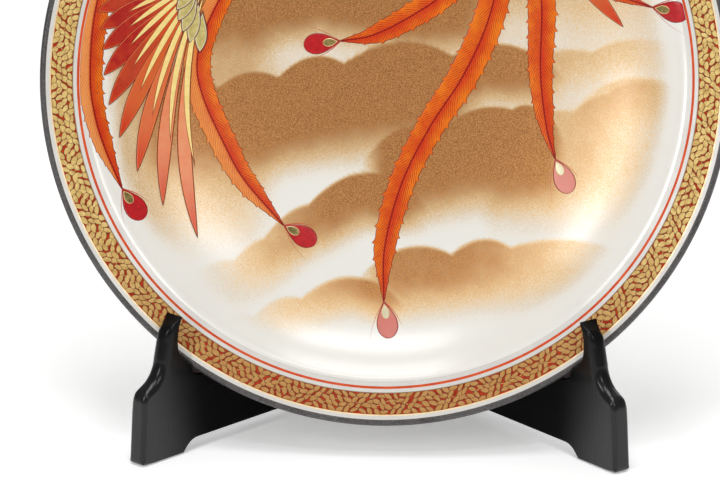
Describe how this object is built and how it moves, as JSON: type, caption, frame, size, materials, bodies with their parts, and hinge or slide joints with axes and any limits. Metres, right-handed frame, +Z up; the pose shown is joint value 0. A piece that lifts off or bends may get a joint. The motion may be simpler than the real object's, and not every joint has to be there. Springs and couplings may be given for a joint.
{
  "type": "display plate on folding stand",
  "caption": "Shallow round porcelain display plate with a painted face, leaning in the padded notches of a folding stand of hinged lacquered boards.",
  "frame": {"origin": "on the floor, under the middle of the whole object's box", "axes": "+Z up, the painted face of the plate looks towards -Y and leans back 17 degrees, +X to the right seen from the front"},
  "size_m": [0.305, 0.1282, 0.3065],
  "materials": {
    "porcelain": "glossy glaze with an enamel and gold painting",
    "lacquered_wood": "satin black lacquer over fine grain",
    "hinge_brass": "satin",
    "screw_steel": "bright zinc",
    "pad_felt": "matt felt",
    "pad_rubber": "satin"
  },
  "bodies": {
    "hinge_pins": {"lower_hinge_pin": "screw_steel", "upper_hinge_pin": "screw_steel"},
    "left_half": {"left_board": "lacquered_wood", "left_front_foot_pad": "pad_felt", "left_lower_leaf": "hinge_brass", "left_lower_leaf_lower_screw": "screw_steel", "left_lower_leaf_upper_screw": "screw_steel", "left_notch_pad": "pad_rubber", "left_rear_foot_pad": "pad_felt", "left_upper_leaf": "hinge_brass", "left_upper_leaf_lower_screw": "screw_steel", "left_upper_leaf_upper_screw": "screw_steel"},
    "right_half": {"right_board": "lacquered_wood", "right_front_foot_pad": "pad_felt", "right_lower_leaf": "hinge_brass", "right_lower_leaf_lower_screw": "screw_steel", "right_lower_leaf_upper_screw": "screw_steel", "right_notch_pad": "pad_rubber", "right_rear_foot_pad": "pad_felt", "right_upper_leaf": "hinge_brass", "right_upper_leaf_lower_screw": "screw_steel", "right_upper_leaf_upper_screw": "screw_steel"},
    "plate": {"plate_body": "porcelain"}
  },
  "joints": [
    {"name": "plate_lift", "type": "slide", "parent": "hinge_pins", "child": "plate", "axis": [0, 0, 1], "range_m": [0, 0.26]},
    {"name": "left_fold", "type": "hinge", "parent": "hinge_pins", "child": "left_half", "pos_m": [0, 0.05438, 0], "axis": [0, 0, 1], "range_deg": [0, 41]},
    {"name": "right_fold", "type": "hinge", "parent": "hinge_pins", "child": "right_half", "pos_m": [0, 0.05438, 0], "axis": [0, 0, 1], "range_deg": [-41, 0]}
  ],
  "couplings": [
    {"joint": "left_fold", "follows": "plate_lift", "rad_per_m": 2.75},
    {"joint": "right_fold", "follows": "plate_lift", "rad_per_m": -2.75}
  ]
}
